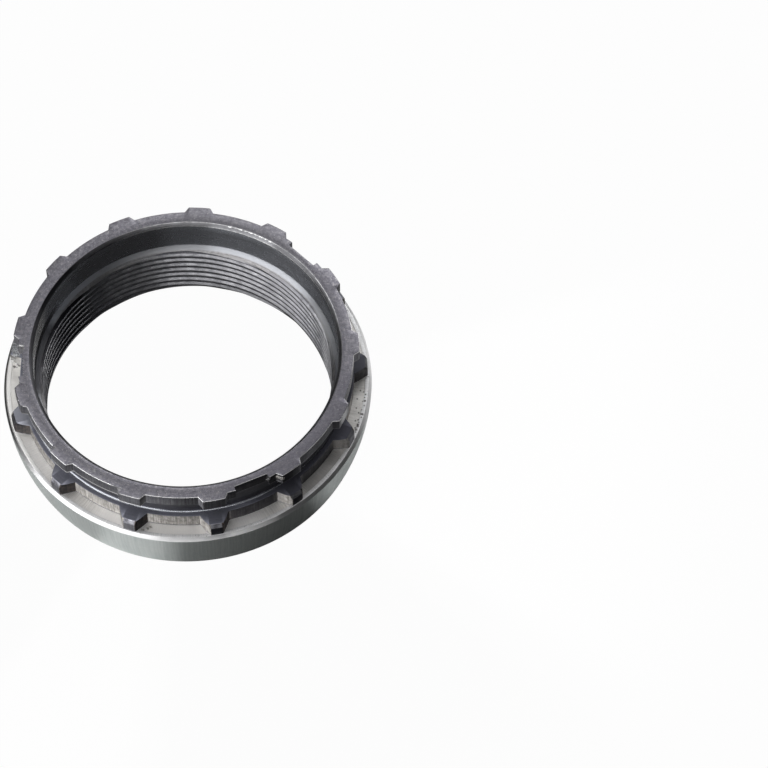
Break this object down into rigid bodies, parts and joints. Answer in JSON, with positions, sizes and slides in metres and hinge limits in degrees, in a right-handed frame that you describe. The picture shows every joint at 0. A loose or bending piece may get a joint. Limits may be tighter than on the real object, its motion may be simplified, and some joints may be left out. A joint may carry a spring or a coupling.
{
  "type": "lock ring",
  "caption": "Threaded steel lock ring with a tapered flange, stepped outer lugs, a groove for a wire ring and tool slots, for clamping parts on a threaded hub.",
  "frame": {"origin": "on the ring's axis, in the back face of the flange that it stands on", "axes": "+Z along the ring's axis, from the flange towards the lugs; +X lies 3.75 degrees clockwise of the first lug, seen from above"},
  "size_m": [0.042, 0.042, 0.013],
  "materials": {
    "ring_steel": "turned and milled steel with a dark slate bloom, bright where it was cut last"
  },
  "bodies": {
    "root": {"lock_ring": "ring_steel"}
  },
  "joints": []
}
